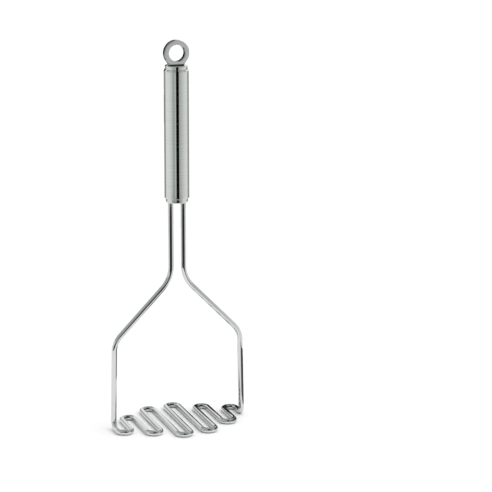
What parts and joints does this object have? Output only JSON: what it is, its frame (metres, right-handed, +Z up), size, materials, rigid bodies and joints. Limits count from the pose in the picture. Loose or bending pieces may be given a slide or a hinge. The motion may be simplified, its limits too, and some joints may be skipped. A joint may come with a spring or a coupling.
{
  "type": "potato masher",
  "caption": "Wire potato masher: a bent steel rod with a wave-shaped head and straight legs, held in a tubular handle with a hanging eye.",
  "frame": {"origin": "on the resting plane, at the middle of the wave head, straight under the handle's axis", "axes": "+Z up along the handle, +X from leg to leg, -Y the front; the hanging eye's hole runs along Y"},
  "size_m": [0.1032, 0.0732, 0.2852],
  "materials": {
    "polished_wire": "bright polished stainless rod with fine drawing lines",
    "satin_tube": "polished stainless tube with very fine turning lines round it",
    "turned_cap": "fine turned stainless",
    "satin_ring": "satin tumbled stainless",
    "weld_metal": "dull weld metal"
  },
  "bodies": {
    "root": {"masher_wire": "polished_wire", "handle_tube": "satin_tube", "lower_end_cap": "turned_cap", "upper_end_cap": "turned_cap", "hanging_ring": "satin_ring", "ring_weld": "weld_metal", "shank_welds": "weld_metal"}
  },
  "joints": []
}
